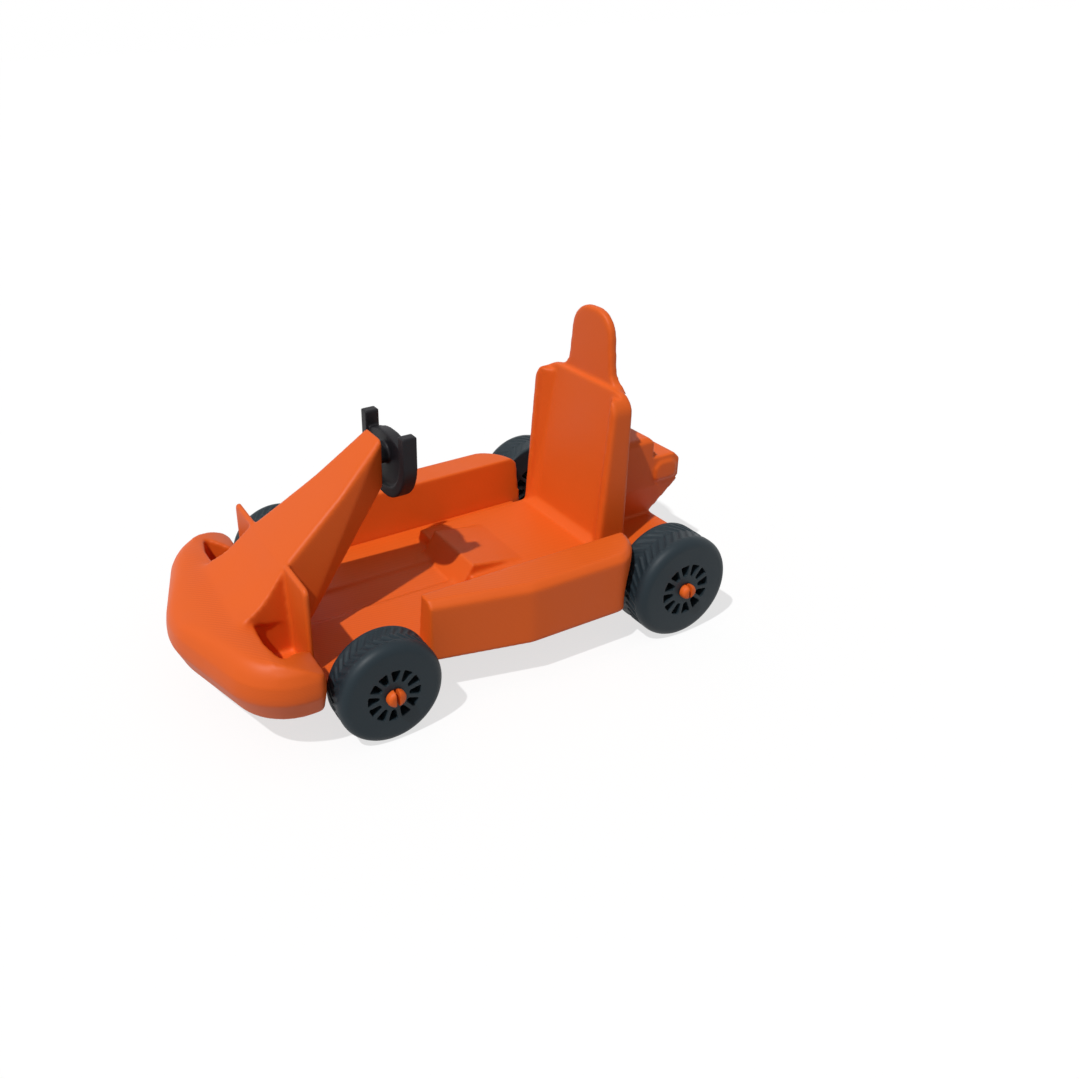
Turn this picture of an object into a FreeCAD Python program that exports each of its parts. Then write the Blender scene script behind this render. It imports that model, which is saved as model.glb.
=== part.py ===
import FreeCAD, Part
import math
import os

os.makedirs("parts", exist_ok=True)

# Toy racing kart, printed in plastic, in millimetres.
# +Z is up, the nose points to -Y and the driver's left is +X.
# The origin lies on the floor, below the middle of the kart's outer box.

V = FreeCAD.Vector
X_AXIS = V(1, 0, 0)
Y_AXIS = V(0, 1, 0)
Z_AXIS = V(0, 0, 1)

# Lengths along the kart
wheelbase = 96.4
nose_reach = 48.1
tail_reach = 26.8
overall_length = nose_reach + wheelbase + tail_reach
front_axle_y = nose_reach - overall_length / 2
rear_axle_y = front_axle_y + wheelbase

# Wheels
wheel_face_x = 45.2
front_wheel_r = 15.0
front_wheel_width = 10.2
rear_wheel_r = 16.1
rear_wheel_width = 12.9
tyre_shoulder = 1.2
slot_count = 12
slot_inner_r = 4.2
slot_outer_r = 8.4
spoke_width = 1.1
front_slot_turn = -5.1
rear_slot_turn = 6.0
hub_bore_r = 2.2

# Axle pins, split so that their heads snap through the hubs
running_gap = 0.08
pin_shaft_r = hub_bore_r - running_gap
pin_head_r = 2.55
pin_head_length = 2.0
pin_head_taper = 1.1
pin_slit = 0.8
pin_slit_depth = 6.0
collar_r = 3.3
side_play = 0.3

# Hull
hull_bottom_z = 12.7
floor_z = 16.3
hull_front_half = 32.6
tunnel_half = 6.5
tunnel_depth = 0.8

# Nose: an inner outline at the bottom that flares to a wider one
nose_gap = 1.4
nose_back_y = front_axle_y - front_wheel_r - nose_gap
nose_half = 42.2
nose_flare = 3.0
nose_corner_y = front_axle_y - nose_reach + 13.7
nose_front_r = 28.0
nose_corner_r = 19.0
nose_lobe_r = 3.0
nose_lobe_taper = 0.2
nose_flare_z = 19.5
nose_edge_z = 24.5
nose_crest_y = nose_back_y - 16.4
nose_crest_z = 29.9
nose_round_z = 21.5
nose_round_width = 8.0
nose_round_steps = 5
recess_z = 20.4
recess_inner_x = 16.9
recess_outer_x = 32.4
recess_back_x = 28.8
recess_front_y = front_axle_y - 26.0
recess_corner_r = 5.0

# Front fins, on both sides of the steering fairing
fin_outer_x = 28.6
fin_top_z = 42.2
fin_thick = 1.6
fin_corner_r = 2.0
fin_gap = 0.1

# Steering fairing
toe_y = front_axle_y - 35.8
toe_half = 18.6
toe_z = 30.0
foot_top_half = 13.8
foot_low_half = 16.7
foot_top_z = 41.4
middle_y = front_axle_y + 3.2
middle_top_z = 55.3
tip_y = front_axle_y + 18.5
tip_top_half = 5.0
tip_low_half = 4.4
tip_top_z = 68.2
tip_low_z = 53.0
fairing_bevel = 0.9

# Steering yoke on its pin
yoke_gap = 2.2
yoke_front_y = tip_y + yoke_gap
yoke_width = 4.3
yoke_z = 61.4
yoke_r = 13.5
yoke_inner_r = 10.2
yoke_grip_rise = 8.8
yoke_web = 1.6
yoke_hub_half = 6.0
yoke_hub_width = 2.8
yoke_hub_rise = 6.0
yoke_hub_arch_r = 24.0
yoke_boss_r = 3.2
yoke_bore_r = 1.7
steer_pin_r = yoke_bore_r - running_gap
steer_head_r = 2.3
steer_head_length = 1.2

# Side pods, between the front and the rear wheels
pod_top_z = 31.5
pod_front_gap = 1.5
pod_front_y = front_axle_y + front_wheel_r + pod_front_gap
pod_bend_y = rear_axle_y - 50.9
pod_end_y = rear_axle_y - 12.0
pod_front_x = 35.0
pod_outer_x = 41.3
pod_foot_x = 27.6
pod_inner_lean = 2.0
pod_end_r = 9.0
pod_bend_r = 14.0
pod_bevel = 1.7
pod_arch_gap = 1.5
pod_arch_x = 32.0

# Seat, set from the rear axle
seat_front_y = rear_axle_y - 54.5
seat_front_rise = 1.5
seat_lip_half = 12.1
seat_lip_z = 23.1
seat_edge_z = 19.5
seat_flat_y = rear_axle_y - 35.3
seat_half = 20.4
seat_base_z = 20.3
wing_foot_y = rear_axle_y - 13.0
wing_top_y = rear_axle_y - 9.6
seat_face_foot_y = rear_axle_y - 11.4
seat_face_top_y = rear_axle_y - 5.6
seat_back_y = rear_axle_y - 3.0
seat_top_z = 70.0
seat_corner_r = 6.0
seat_wing_thick = 2.6
seat_bevel = 0.7
headrest_foot_half = 15.0
headrest_neck_half = 10.9
headrest_neck_rise = 1.0
headrest_neck_r = 4.0
headrest_half = 8.7
headrest_rise = 22.2
headrest_top_r = 8.3

# Rear deck and engine
deck_half = 29.0
deck_corner_r = 5.0
deck_reach = 18.0
deck_end_y = rear_axle_y + deck_reach
deck_z = 20.0
engine_half = 10.0
engine_foot_half = 8.0
engine_front_y = rear_axle_y + 2.0
engine_foot_end_y = deck_end_y - 1.0
engine_split_y = rear_axle_y + 14.8
engine_end_y = rear_axle_y + tail_reach
engine_neck_z = 31.0
cover_top_z = 42.0
head_top_z = 48.0
engine_bevel = 1.2
dimple_r = 2.2
panel_rise = 0.8
panel_margin = 1.8


def mm_box(x0, x1, y0, y1, z0, z1):
    """A box between two corners."""
    return Part.makeBox(x1 - x0, y1 - y0, z1 - z0, V(x0, y0, z0))


def along_z(z):
    """Places an outline's (u, v) point in a level plane."""
    return lambda u, v: V(u, v, z)


def along_x(x):
    """Places an outline's (u, v) point in a plane across X, u along the kart."""
    return lambda u, v: V(x, u, v)


def along_y(y):
    """Places an outline's (u, v) point in a plane across Y, u across the kart."""
    return lambda u, v: V(u, y, v)


def outline(corners, place):
    """A closed wire through (u, v, radius) corners, each rounded by its own radius."""
    edges = []
    ends = []
    count = len(corners)
    for i, (u, v, r) in enumerate(corners):
        before = corners[i - 1]
        after = corners[(i + 1) % count]
        a = V(before[0] - u, before[1] - v, 0)
        b = V(after[0] - u, after[1] - v, 0)
        a.normalize()
        b.normalize()
        half = a.getAngle(b) / 2
        if r == 0 or abs(half - math.pi / 2) < 1e-6:
            ends.append((V(u, v, 0), V(u, v, 0), None))
            continue
        reach = r / math.tan(half)
        inward = a + b
        inward.normalize()
        middle = V(u, v, 0) + inward * (r / math.sin(half) - r)
        ends.append((V(u, v, 0) + a * reach, V(u, v, 0) + b * reach, middle))
    for i, (start, stop, middle) in enumerate(ends):
        if middle is not None:
            points = [place(p.x, p.y) for p in (start, middle, stop)]
            edges.append(Part.Arc(*points).toShape())
        following = ends[(i + 1) % count][0]
        if (following - stop).Length > 1e-6:
            edges.append(Part.makeLine(place(stop.x, stop.y), place(following.x, following.y)))
    return Part.Wire(edges)


def plan_prism(corners, z0, z1):
    """A solid over an outline seen from above."""
    return Part.Face(outline(corners, along_z(z0))).extrude(V(0, 0, z1 - z0))


def side_prism(corners, x0, x1):
    """A solid across the kart over an outline seen from the side."""
    return Part.Face(outline(corners, along_x(x0))).extrude(V(x1 - x0, 0, 0))


def front_prism(corners, y0, y1):
    """A solid along the kart over an outline seen from the front."""
    return Part.Face(outline(corners, along_y(y0))).extrude(V(0, y1 - y0, 0))


def sharp(points):
    """Corners without rounding."""
    return [(u, v, 0) for u, v in points]


def both_sides(half):
    """A closed list of corners from those of its +X half, front to back."""
    return half + [(-u, v, r) for u, v, r in reversed(half) if u != 0]


def mirror_x(shape):
    """The same piece on the other side of the kart."""
    return shape.mirror(V(0, 0, 0), X_AXIS)


def edges_where(shape, test):
    """The edges whose two end points both pass a test."""
    found = []
    for edge in shape.Edges:
        ends = [v.Point for v in edge.Vertexes]
        if len(ends) == 2 and all(test(p) for p in ends):
            found.append(edge)
    return found


def cylinder_x(radius, x0, x1, y, z):
    """A cylinder across the kart."""
    return Part.makeCylinder(radius, x1 - x0, V(x0, y, z), X_AXIS)


def cylinder_y(radius, y0, y1, x, z):
    """A cylinder along the kart."""
    return Part.makeCylinder(radius, y1 - y0, V(x, y0, z), Y_AXIS)


def turned(profile, y, z):
    """A solid of revolution about a line across the kart, from (x, radius) points."""
    points = [V(x, y, z + r) for x, r in profile]
    face = Part.Face(Part.makePolygon(points + points[:1]))
    return face.revolve(V(0, y, z), X_AXIS, 360)


def slot_cutter(depth, scale):
    """One wedge slot of a wheel disc, pointing up, with straight ends."""
    half_pitch = math.pi / slot_count
    half_spoke = spoke_width / 2
    corners = []
    for r in (slot_inner_r * scale, slot_outer_r * scale):
        along = math.sqrt(r * r - half_spoke * half_spoke)
        across = along * math.sin(half_pitch) - half_spoke * math.cos(half_pitch)
        corners.append((across, along * math.cos(half_pitch) + half_spoke * math.sin(half_pitch)))
    (inner_x, inner_z), (outer_x, outer_z) = corners
    ring = sharp([(outer_x, outer_z), (inner_x, inner_z), (-inner_x, inner_z), (-outer_x, outer_z)])
    return side_prism(ring, 0, depth)


def make_wheel(radius, width, y, turn, side):
    """A wheel in one piece: tyre, slotted disc and hub with its bore."""
    x1 = wheel_face_x
    x0 = x1 - width
    rim = radius - tyre_shoulder
    body = turned([(x0, 0), (x0, rim), (x0 + tyre_shoulder, radius),
                   (x1 - tyre_shoulder, radius), (x1, rim), (x1, 0)], y, radius)
    slot = slot_cutter(width + 2, radius / front_wheel_r)
    cuts = [cylinder_x(hub_bore_r, x0 - 1, x1 + 1, y, radius)]
    for i in range(slot_count):
        cut = slot.copy()
        cut.rotate(V(0, 0, 0), X_AXIS, turn + 360.0 * i / slot_count)
        cut.translate(V(x0 - 1, y, radius))
        cuts.append(cut)
    wheel = body.cut(Part.makeCompound(cuts))
    return wheel if side > 0 else mirror_x(wheel)


def make_axle_pin(root_x, width, y, z, side):
    """A pin from the hull through one wheel, with its split snap head."""
    collar_x = wheel_face_x - width - side_play
    head_x = wheel_face_x + side_play
    end_x = head_x + pin_head_length
    pin = turned([(root_x, 0), (root_x, collar_r), (collar_x, collar_r), (collar_x, pin_shaft_r),
                  (head_x, pin_shaft_r), (head_x, pin_head_r), (end_x - pin_head_taper, pin_head_r),
                  (end_x, pin_head_r - pin_head_taper), (end_x, 0)], y, z)
    slit = mm_box(end_x - pin_slit_depth, end_x + 1, y - pin_slit / 2, y + pin_slit / 2,
                  z - pin_head_r - 1, z + pin_head_r + 1)
    pin = pin.cut(slit)
    return pin if side > 0 else mirror_x(pin)


def make_floor_tray():
    """The flat hull plate, with the shallow tunnel along its middle."""
    half = sharp([(hull_front_half, nose_back_y), (hull_front_half, pod_front_y),
                  (pod_foot_x, pod_front_y), (pod_foot_x, wing_foot_y)])
    plate = plan_prism(both_sides(half), hull_bottom_z, floor_z)
    tunnel = mm_box(-tunnel_half, tunnel_half, nose_back_y + fin_thick, seat_front_y,
                    floor_z - tunnel_depth, floor_z + 1)
    return plate.cut(tunnel)


def nose_corners(inset):
    """The nose seen from above, drawn in evenly by an inset."""
    front_y = front_axle_y - nose_reach
    slant = math.atan2(nose_corner_y - front_y, nose_half)
    shift = inset / math.cos(slant)
    return both_sides([(0, front_y + shift, nose_front_r - inset),
                       (nose_half - inset, nose_corner_y + shift - inset * math.tan(slant), nose_corner_r - inset),
                       (nose_half - inset, nose_back_y, nose_lobe_r - nose_lobe_taper * inset)])


def nose_shell():
    """The nose as one full block: flared foot, upright band and a rounded, arched top."""
    levels = [(nose_flare, hull_bottom_z), (0, nose_flare_z), (0, nose_round_z)]
    for step in range(1, nose_round_steps + 1):
        turn = math.pi / 2 * step / nose_round_steps
        levels.append((nose_round_width * (1 - math.cos(turn)),
                       nose_round_z + (nose_crest_z + 1 - nose_round_z) * math.sin(turn)))
    block = Part.makeLoft([outline(nose_corners(inset), along_z(z)) for inset, z in levels], True, True)
    reach = nose_crest_y - nose_back_y
    side = nose_half + 1
    arch = Part.Arc(V(-side, nose_crest_y + reach, nose_edge_z), V(-side, nose_crest_y, nose_crest_z),
                    V(-side, nose_crest_y - reach, nose_edge_z)).toShape()
    start, stop = [vertex.Point for vertex in arch.Vertexes]
    drop = V(0, 0, hull_bottom_z - nose_edge_z)
    rest = Part.makePolygon([stop, stop + drop, start + drop, start])
    return block.common(Part.Face(Part.Wire([arch] + rest.Edges)).extrude(V(2 * side, 0, 0)))


def nose_pocket():
    """The open recess on the left of the nose."""
    return plan_prism([(recess_inner_x, recess_front_y, 0), (recess_outer_x, recess_front_y, recess_corner_r),
                       (recess_back_x, nose_back_y, 0), (recess_back_x, nose_back_y + 1, 0),
                       (foot_low_half, nose_back_y + 1, 0), (foot_low_half, nose_back_y, 0)],
                      recess_z, nose_crest_z + 1)


def make_nose(shell):
    """The front bumper: a broad rounded shell with an open recess on each side."""
    pocket = nose_pocket()
    return shell.cut(Part.makeCompound([pocket, mirror_x(pocket)]))


def make_fin(side):
    """An upright plate that stands on the floor beside the steering fairing."""
    low = foot_low_half + fin_gap
    top = foot_top_half + fin_gap
    fin = front_prism([(low, floor_z, 0), (fin_outer_x, floor_z, 0), (fin_outer_x, fin_top_z, fin_corner_r),
                       (top, fin_top_z, 0), (top, foot_top_z, 0)], nose_back_y, nose_back_y + fin_thick)
    return fin if side > 0 else mirror_x(fin)


def fairing_wedge(y0, half0, y1, half1, lean):
    """A long wedge with flat sides: half widths at floor level, and their gain for each mm of height."""
    low = floor_z
    high = tip_top_z + 1
    rise = (high - low) * lean
    rings = [outline(both_sides([(half + rise, high, 0), (half, low, 0)]), along_y(y))
             for y, half in ((y0, half0), (y1, half1))]
    return Part.makeLoft(rings, True, True)


def make_fairing(nose):
    """The slanted fairing that carries the steering pin at its tip."""
    foot_lean = (foot_top_half - foot_low_half) / (foot_top_z - floor_z)
    tip_lean = (tip_top_half - tip_low_half) / (tip_top_z - tip_low_z)
    tip_floor_half = tip_top_half - foot_lean * (tip_top_z - floor_z)
    toe_floor_half = toe_half - foot_lean * (toe_z - floor_z)
    upper = fairing_wedge(nose_back_y, foot_low_half, tip_y, tip_floor_half, foot_lean)
    lower = fairing_wedge(nose_back_y, foot_low_half, tip_y, tip_top_half - tip_lean * (tip_top_z - floor_z), tip_lean)
    silhouette = side_prism(sharp([(nose_back_y, floor_z), (nose_back_y, foot_top_z), (middle_y, middle_top_z),
                                   (tip_y, tip_top_z), (tip_y, tip_low_z)]), -toe_half, toe_half)
    beam = silhouette.common(upper).common(lower)
    toe = fairing_wedge(toe_y, toe_floor_half, nose_back_y, foot_low_half, foot_lean)
    ramp = side_prism(sharp([(toe_y, floor_z), (toe_y, toe_z), (nose_back_y, foot_top_z), (nose_back_y, floor_z)]),
                      -toe_half - 1, toe_half + 1)
    beam = beam.fuse(toe.common(ramp).cut(nose)).removeSplitter()
    ridge = edges_where(beam, lambda p: p.z > toe_z - 1 and p.y < tip_y + 1)
    ridge = [e for e in ridge if abs(e.Vertexes[0].Y - e.Vertexes[1].Y) > 2 and
             min(abs(v.X) for v in e.Vertexes) > tip_top_half - 0.1 and
             abs(e.Vertexes[0].Z - e.Vertexes[1].Z) < abs(e.Vertexes[0].Y - e.Vertexes[1].Y)]
    return beam.makeChamfer(fairing_bevel, ridge)


def steering_pin():
    """The pin with its head that holds the yoke."""
    head_y = yoke_front_y + yoke_width + side_play
    pin = cylinder_y(steer_pin_r, tip_y - 1, head_y, 0, yoke_z)
    return pin.fuse(cylinder_y(steer_head_r, head_y, head_y + steer_head_length, 0, yoke_z))


def make_yoke():
    """The steering wheel: a deep U with two upright grips and an arched centre plate."""
    y0 = yoke_front_y
    y1 = y0 + yoke_width
    top = yoke_z + yoke_grip_rise
    outer = cylinder_y(yoke_r, y0, y1, 0, yoke_z)
    outer = outer.fuse(mm_box(-yoke_r, yoke_r, y0, y1, yoke_z, top))
    above = mm_box(-yoke_r - 1, yoke_r + 1, y0 - 1, y1 + 1, top, yoke_z + yoke_r + 1)
    inner = cylinder_y(yoke_inner_r, y0 - 1, y1 - yoke_web, 0, yoke_z)
    slot = mm_box(-yoke_inner_r, yoke_inner_r, y0 - 1, y1 + 1, yoke_z, top + 1)
    hub_top = yoke_z + yoke_hub_rise
    plate = mm_box(-yoke_hub_half, yoke_hub_half, y1 - yoke_hub_width, y1, yoke_z - yoke_inner_r, hub_top)
    arch = cylinder_y(yoke_hub_arch_r, y0, y1, 0, hub_top - yoke_hub_arch_r)
    boss = cylinder_y(yoke_boss_r, tip_y + side_play, y1, 0, yoke_z)
    bore = cylinder_y(yoke_bore_r, tip_y, y1 + 1, 0, yoke_z)
    frame = outer.cut(above).cut(inner.fuse(slot))
    return frame.fuse([plate.common(arch), boss]).cut(bore).removeSplitter()


def make_pod(side):
    """A side pod: upright outside, a rounded rear end and a wheel arch."""
    pod = plan_prism([(pod_foot_x, pod_front_y, 0), (pod_front_x, pod_front_y, 0),
                      (pod_outer_x, pod_bend_y, pod_bend_r), (pod_outer_x, pod_end_y, pod_end_r),
                      (pod_foot_x, pod_end_y, 0)], hull_bottom_z, pod_top_z)
    lean = front_prism(sharp([(pod_foot_x, floor_z), (pod_foot_x, pod_top_z + 1),
                              (pod_foot_x + pod_inner_lean, pod_top_z + 1)]), pod_front_y - 1, pod_end_y + 1)
    top = edges_where(pod, lambda p: p.z > pod_top_z - 0.01 and p.x > pod_foot_x - 0.1)
    top = [e for e in top if max(v.X for v in e.Vertexes) > pod_front_x - 0.1 and
           abs(e.Vertexes[0].Y - e.Vertexes[1].Y) > 0.1]
    pod = pod.makeChamfer(pod_bevel, top).cut(lean)
    arch = cylinder_x(rear_wheel_r + pod_arch_gap, wheel_face_x - rear_wheel_width - side_play,
                      pod_outer_x + 1, rear_axle_y, rear_wheel_r)
    pod = pod.cut(arch)
    return pod if side > 0 else mirror_x(pod)


def make_seat_pan():
    """The seat base with its raised front lip, which slopes back to the flat."""
    edge_y = seat_front_y + seat_front_rise * (seat_edge_z - floor_z) / (seat_lip_z - floor_z)
    base = side_prism(sharp([(seat_front_y, floor_z), (edge_y, seat_edge_z), (seat_flat_y, seat_base_z),
                             (wing_foot_y, seat_base_z), (wing_foot_y, floor_z)]), -seat_half, seat_half)
    lip = side_prism(sharp([(seat_front_y, floor_z), (seat_front_y + seat_front_rise, seat_lip_z),
                            (seat_flat_y, seat_base_z), (seat_flat_y, floor_z)]), -seat_lip_half, seat_lip_half)
    return base.fuse(lip).removeSplitter()


def make_seat_back():
    """The leaning back rest between two forward wings, with round shoulders."""
    block = side_prism(sharp([(wing_foot_y, hull_bottom_z), (wing_foot_y, seat_base_z), (wing_top_y, seat_top_z),
                              (seat_back_y, seat_top_z), (seat_back_y, hull_bottom_z)]), -seat_half, seat_half)
    front = front_prism([(-seat_half, hull_bottom_z, 0), (seat_half, hull_bottom_z, 0),
                         (seat_half, seat_top_z, seat_corner_r), (-seat_half, seat_top_z, seat_corner_r)],
                        wing_foot_y - 1, seat_back_y + 1)
    inner = seat_half - seat_wing_thick
    hollow = side_prism(sharp([(seat_face_foot_y, seat_base_z), (seat_face_top_y, seat_top_z),
                               (seat_face_top_y, seat_top_z + 1), (wing_foot_y - 1, seat_top_z + 1),
                               (wing_foot_y - 1, seat_base_z)]), -inner, inner)
    shell = block.common(front).cut(hollow)
    rims = edges_where(shell, lambda p: p.y < wing_top_y + 0.01 and p.z > seat_base_z - 0.01)
    rims = [e for e in rims if max(abs(v.X) for v in e.Vertexes) > seat_half - 0.01]
    rims = [e for e in rims if e.BoundBox.ZLength > 1]
    return shell.makeChamfer(seat_bevel, rims)


def make_headrest():
    """The tall head rest with a round top."""
    half = [(headrest_foot_half, seat_top_z, 0), (headrest_neck_half, seat_top_z + headrest_neck_rise, headrest_neck_r),
            (headrest_half, seat_top_z + headrest_rise, headrest_top_r)]
    return front_prism(both_sides(half), seat_face_top_y, seat_back_y)


def make_rear_deck():
    """The deck between the rear wheels, behind the seat."""
    half = [(deck_half, seat_back_y, 0), (deck_half, deck_end_y, deck_corner_r)]
    return plan_prism(both_sides(half), hull_bottom_z, deck_z)


def make_engine_block():
    """The engine's lower body, which widens upwards and backwards from the deck."""
    side = side_prism(sharp([(engine_front_y, deck_z), (engine_foot_end_y, deck_z),
                             (engine_end_y, engine_neck_z), (engine_front_y, engine_neck_z)]),
                      -engine_half, engine_half)
    front = front_prism(both_sides(sharp([(engine_foot_half, deck_z), (engine_half, engine_neck_z)])),
                        engine_front_y, engine_end_y)
    return side.common(front)


def make_cylinder_head():
    """The engine's tall front block."""
    head = mm_box(-engine_half, engine_half, engine_front_y, engine_split_y, engine_neck_z, head_top_z)
    top = edges_where(head, lambda p: p.z > head_top_z - 0.01)
    return head.makeChamfer(engine_bevel, top)


def make_engine_cover():
    """The engine's lower rear block, dimpled on top, with a raised panel on each side."""
    cover = mm_box(-engine_half, engine_half, engine_split_y, engine_end_y, engine_neck_z, cover_top_z)
    rear = edges_where(cover, lambda p: p.y > engine_end_y - 0.01 and p.z > engine_neck_z - 0.01)
    rear = [e for e in rear if max(v.Z for v in e.Vertexes) > cover_top_z - 0.01]
    cover = cover.makeChamfer(engine_bevel, rear)
    middle_y_of_cover = (engine_split_y + engine_end_y) / 2
    dimple = cylinder_x(dimple_r, -engine_half - 1, engine_half + 1, middle_y_of_cover, cover_top_z + dimple_r / 2)
    m = panel_margin
    panel = side_prism([(engine_split_y + m, engine_neck_z + m, m), (engine_end_y - m, engine_neck_z + m, m),
                        (engine_end_y - m, cover_top_z - dimple_r, m), (engine_split_y + m, cover_top_z - dimple_r, m)],
                       -engine_half - panel_rise, engine_half + panel_rise)
    return cover.cut(dimple).fuse(panel).removeSplitter()


def save(name, shape):
    """Writes one piece, after a check that it is one sound solid."""
    solids = shape.Solids
    if not shape.isValid() or len(solids) != 1:
        raise ValueError("%s: valid %s, solids %d" % (name, shape.isValid(), len(solids)))
    solids[0].exportStep("parts/%s.step" % name)


def make_all():
    """Every piece of the kart by its node's name."""
    shell = nose_shell()
    nose = make_nose(shell)
    fairing = make_fairing(shell)
    pieces = {
        "floor_tray": make_floor_tray(),
        "nose_bumper": nose,
        "steering_fairing": fairing.fuse(steering_pin()).removeSplitter(),
        "steering_yoke": make_yoke(),
        "seat_pan": make_seat_pan(),
        "seat_back": make_seat_back(),
        "headrest": make_headrest(),
        "rear_deck": make_rear_deck(),
        "engine_block": make_engine_block(),
        "cylinder_head": make_cylinder_head(),
        "engine_cover": make_engine_cover(),
    }
    axles = (("front", front_axle_y, front_wheel_r, front_wheel_width, front_slot_turn, hull_front_half),
             ("rear", rear_axle_y, rear_wheel_r, rear_wheel_width, rear_slot_turn, deck_half))
    for word, side in (("left", 1), ("right", -1)):
        pieces["fin_" + word] = make_fin(side)
        pieces["side_pod_" + word] = make_pod(side)
        for end, y, radius, width, turn, root_x in axles:
            pieces["wheel_%s_%s" % (end, word)] = make_wheel(radius, width, y, turn, side)
            pieces["axle_pin_%s_%s" % (end, word)] = make_axle_pin(root_x, width, y, radius, side)
    return pieces


if __name__ == "__main__":
    for node, piece in make_all().items():
        save(node, piece)
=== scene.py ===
import math

import bmesh
import bpy
from bpy.props import FloatProperty, IntProperty, PointerProperty, StringProperty
from mathutils import Matrix, Vector


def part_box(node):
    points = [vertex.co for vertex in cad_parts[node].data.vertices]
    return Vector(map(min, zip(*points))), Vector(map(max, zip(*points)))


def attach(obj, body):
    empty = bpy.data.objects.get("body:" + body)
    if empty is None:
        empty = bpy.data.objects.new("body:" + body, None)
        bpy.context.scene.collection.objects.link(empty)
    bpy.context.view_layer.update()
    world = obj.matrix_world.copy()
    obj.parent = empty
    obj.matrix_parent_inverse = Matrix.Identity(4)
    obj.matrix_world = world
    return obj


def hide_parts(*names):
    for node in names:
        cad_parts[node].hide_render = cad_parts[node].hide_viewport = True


bl_info = {
    "name": "Toy racing kart",
    "version": (1, 0, 0),
    "blender": (4, 5, 0),
    "location": "View3D > Sidebar > Toy kart",
    "description": "Dresses the packed toy kart in printed plastic and sets it in a plain studio",
    "category": "Add Mesh",
}

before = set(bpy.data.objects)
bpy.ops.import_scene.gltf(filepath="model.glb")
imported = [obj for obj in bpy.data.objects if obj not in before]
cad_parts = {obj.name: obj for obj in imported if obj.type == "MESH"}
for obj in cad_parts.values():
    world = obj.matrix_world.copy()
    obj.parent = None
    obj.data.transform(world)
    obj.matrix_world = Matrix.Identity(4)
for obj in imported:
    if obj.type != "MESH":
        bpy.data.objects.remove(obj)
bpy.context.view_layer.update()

MM = 0.001
SIDES = ("left", "right")
ENDS = ("front", "rear")
WHEELS = [end + "_" + side for end in ENDS for side in SIDES]
YOKE = "steering_yoke"

# The camera that was fitted to the photograph, in pixels of its 1079 x 1079 frame
IMAGE_SIZE = 1079
FOCAL_PX = 952.97
CENTRE_PX = (372.80, 441.19)
SENSOR_MM = 36.0
CAMERA_YAW = 1.144
CAMERA_PITCH = 0.425
CAMERA_ROLL = -0.050
CAMERA_X = 223.48 * MM
CAMERA_AHEAD = 83.69 * MM
CAMERA_Z = 176.53 * MM

# The studio: towards the sun, its strength and its width in the sky, the strength of the room's light,
# how much of the seen floor's white takes the kart's shadow, and the floor's size in metres
LIGHT_FROM = Vector((0.21, -0.49, 0.85))
SUN_STRENGTH = 2.8
SUN_ANGLE = math.radians(1.2)
ROOM_LIGHT = 0.26
FLOOR_SHADOW = 0.3
FLOOR_SIZE = 6.0

# Roughness, shine and strength of the relief of each plastic, how deep that relief is, and how far the
# shading rounds an edge
HULL_FINISH = (0.5, 0.3, 0.15)
WHEEL_FINISH = (0.5, 0.28, 0.15)
YOKE_FINISH = (0.5, 0.25, 0.15)
RELIEF_DEPTH = 0.06 * MM
EDGE_ROUND = 0.5 * MM

# Points closer than this are one point
SAME_POINT = 0.5e-6
# How far one smoothing round moves a point towards its neighbours' middle
SMOOTHING = 0.5
# Smoothing rounds of each printed skin: the more rounds, the rounder its corners
SKIN_ROUNDS = {"printed_front": 8, "printed_tub": 6, "printed_engine": 5, "printed_pod_left": 9,
               "printed_pod_right": 9, "printed_steering_yoke": 6}
# How far a solid is grown, so that it overlaps its neighbours
OVERLAP = 0.05 * MM

# A recess of the nose from above: across the kart, and along it from the nose's back, in mm.
# Then its floor's height, and how high its cutter is.
RECESS_PLAN = ((15.8, 1.0), (15.8, -10.9), (26.5, -11.2), (33.2, -9.8), (33.9, -8.4), (27.6, 0.0),
               (27.6, 1.0))
RECESS_FLOOR = 16.6 * MM
RECESS_CUTTER = 25 * MM
# What is cut off the fairing's toe, from the side: along the kart from the nose's back, and up, in mm
TOE_CUT = ((0.95, 42.4), (-5.5, 35.7), (-8.5, 33.2), (-11.5, 31.6), (-15.0, 30.6), (-19.0, 29.9),
           (-40.0, 29.0), (-40.0, 60.0), (0.95, 60.0))
TOE_CUT_HALF = 45 * MM
# The toe's foot sinks into the nose's crest, which falls by CREST_ARCH to its sides
TOE_SINK = 0.8 * MM
CREST_ARCH = 2.5 * MM
# Where the toe flows into the nose, above BLEND_LOW: its middle from BLEND_FROM ahead of the nose's back,
# and the whole crown from BLEND_WIDE_FROM
BLEND_FROM = 5.0 * MM
BLEND_WIDE_FROM = 12.4 * MM
BLEND_HALF = 14.6 * MM
BLEND_LOW = 25 * MM
BLEND_ROUNDS = 40
# How far a fin is moved into the fairing
FIN_OVERLAP = 0.3 * MM

# The backrest from the side, for two heights: its face and its wings, from the rear axle, in mm
SEAT_LEVELS = ((20.0, -10.9, -12.7), (68.0, -5.3, -9.5))
WING_INNER = 18.3 * MM
WING_FILLET = 5.0 * MM
# Ramps across the seat, each a half width and corners along the kart from the rear axle and up, in mm:
# the backrest's foot and the front of the pan's lip
SEAT_RAMPS = ((18.0, ((-10.9, 19.5), (-13.9, 20.0), (-10.9, 23.0))),
              (12.0, ((-57.5, 16.2), (-51.0, 16.0), (-51.0, 22.4), (-53.2, 22.7))))
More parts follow.
